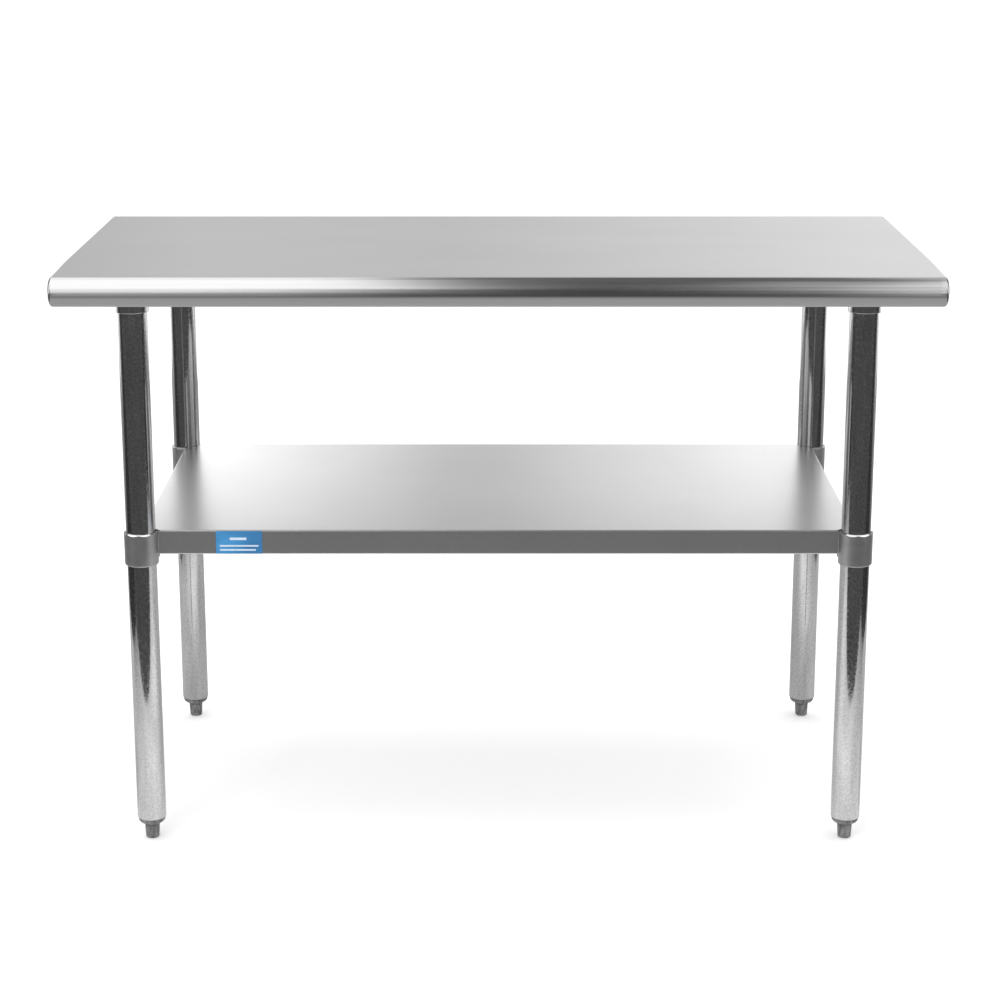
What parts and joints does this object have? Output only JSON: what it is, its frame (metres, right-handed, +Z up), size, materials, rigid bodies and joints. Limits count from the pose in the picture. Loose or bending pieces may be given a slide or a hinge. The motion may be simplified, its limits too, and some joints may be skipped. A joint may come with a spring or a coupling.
{
  "type": "stainless work table",
  "caption": "Free-standing kitchen work table: rolled-edge steel top on four tube legs with levelling feet, and a height-adjustable undershelf.",
  "frame": {"origin": "on the floor, under the middle of the top", "axes": "+X to the user's right along the length, -Y towards the user at the front edge, +Z up"},
  "size_m": [1.2192, 0.6096, 0.8255],
  "materials": {
    "stainless_top": "brushed along the length, satin",
    "shelf_steel": "galvanised sheet, satin with faint spangle",
    "leg_steel": "galvanised tube, semi-bright and mottled",
    "channel_steel": "galvanised, matt",
    "nut_steel": "zinc plated",
    "cast_aluminium": "die cast, dull grey",
    "screw_steel": "black oxide",
    "foot_plastic": "moulded, dark grey, matt",
    "label_film": "printed film, blue, blank"
  },
  "bodies": {
    "frame": {"table_top": "stainless_top", "top_channel_left": "channel_steel", "top_channel_right": "channel_steel", "top_channel_center": "channel_steel", "channel_nut_1": "nut_steel", "channel_nut_2": "nut_steel", "channel_nut_3": "nut_steel", "channel_nut_4": "nut_steel", "channel_nut_5": "nut_steel", "channel_nut_6": "nut_steel", "channel_nut_7": "nut_steel", "channel_nut_8": "nut_steel", "channel_nut_9": "nut_steel", "channel_nut_10": "nut_steel", "channel_nut_11": "nut_steel", "channel_nut_12": "nut_steel", "leg_front_left": "leg_steel", "top_socket_front_left": "cast_aluminium", "foot_insert_front_left": "foot_plastic", "leg_front_right": "leg_steel", "top_socket_front_right": "cast_aluminium", "foot_insert_front_right": "foot_plastic", "leg_back_left": "leg_steel", "top_socket_back_left": "cast_aluminium", "foot_insert_back_left": "foot_plastic", "leg_back_right": "leg_steel", "top_socket_back_right": "cast_aluminium", "foot_insert_back_right": "foot_plastic"},
    "shelf": {"undershelf": "shelf_steel", "shelf_channel": "channel_steel", "shelf_label": "label_film", "shelf_socket_front_left": "cast_aluminium", "shelf_socket_front_right": "cast_aluminium", "shelf_socket_back_left": "cast_aluminium", "shelf_socket_back_right": "cast_aluminium"},
    "foot_front_left": {"bullet_foot_front_left": "foot_plastic"},
    "foot_front_right": {"bullet_foot_front_right": "foot_plastic"},
    "foot_back_left": {"bullet_foot_back_left": "foot_plastic"},
    "foot_back_right": {"bullet_foot_back_right": "foot_plastic"},
    "top_screw_front_left": {"top_set_screw_front_left": "screw_steel"},
    "shelf_screw_front_left": {"shelf_set_screw_front_left": "screw_steel"},
    "top_screw_front_right": {"top_set_screw_front_right": "screw_steel"},
    "shelf_screw_front_right": {"shelf_set_screw_front_right": "screw_steel"},
    "top_screw_back_left": {"top_set_screw_back_left": "screw_steel"},
    "shelf_screw_back_left": {"shelf_set_screw_back_left": "screw_steel"},
    "top_screw_back_right": {"top_set_screw_back_right": "screw_steel"},
    "shelf_screw_back_right": {"shelf_set_screw_back_right": "screw_steel"}
  },
  "joints": [
    {"name": "shelf_height", "type": "slide", "parent": "frame", "child": "shelf", "axis": [0, 0, 1], "range_m": [-0.33, 0.25]},
    {"name": "foot_height_front_left", "type": "slide", "parent": "frame", "child": "foot_front_left", "axis": [0, 0, -1], "range_m": [0, 0.025]},
    {"name": "foot_height_front_right", "type": "slide", "parent": "frame", "child": "foot_front_right", "axis": [0, 0, -1], "range_m": [0, 0.025]},
    {"name": "foot_height_back_left", "type": "slide", "parent": "frame", "child": "foot_back_left", "axis": [0, 0, -1], "range_m": [0, 0.025]},
    {"name": "foot_height_back_right", "type": "slide", "parent": "frame", "child": "foot_back_right", "axis": [0, 0, -1], "range_m": [0, 0.025]},
    {"name": "loosen_top_screw_front_left", "type": "slide", "parent": "frame", "child": "top_screw_front_left", "axis": [0.7071, 0.7071, 0], "range_m": [0, 0.004]},
    {"name": "loosen_shelf_screw_front_left", "type": "slide", "parent": "shelf", "child": "shelf_screw_front_left", "axis": [0.7071, 0.7071, 0], "range_m": [0, 0.004]},
    {"name": "loosen_top_screw_front_right", "type": "slide", "parent": "frame", "child": "top_screw_front_right", "axis": [-0.7071, 0.7071, 0], "range_m": [0, 0.004]},
    {"name": "loosen_shelf_screw_front_right", "type": "slide", "parent": "shelf", "child": "shelf_screw_front_right", "axis": [-0.7071, 0.7071, 0], "range_m": [0, 0.004]},
    {"name": "loosen_top_screw_back_left", "type": "slide", "parent": "frame", "child": "top_screw_back_left", "axis": [0.7071, -0.7071, 0], "range_m": [0, 0.004]},
    {"name": "loosen_shelf_screw_back_left", "type": "slide", "parent": "shelf", "child": "shelf_screw_back_left", "axis": [0.7071, -0.7071, 0], "range_m": [0, 0.004]},
    {"name": "loosen_top_screw_back_right", "type": "slide", "parent": "frame", "child": "top_screw_back_right", "axis": [-0.7071, -0.7071, 0], "range_m": [0, 0.004]},
    {"name": "loosen_shelf_screw_back_right", "type": "slide", "parent": "shelf", "child": "shelf_screw_back_right", "axis": [-0.7071, -0.7071, 0], "range_m": [0, 0.004]}
  ]
}
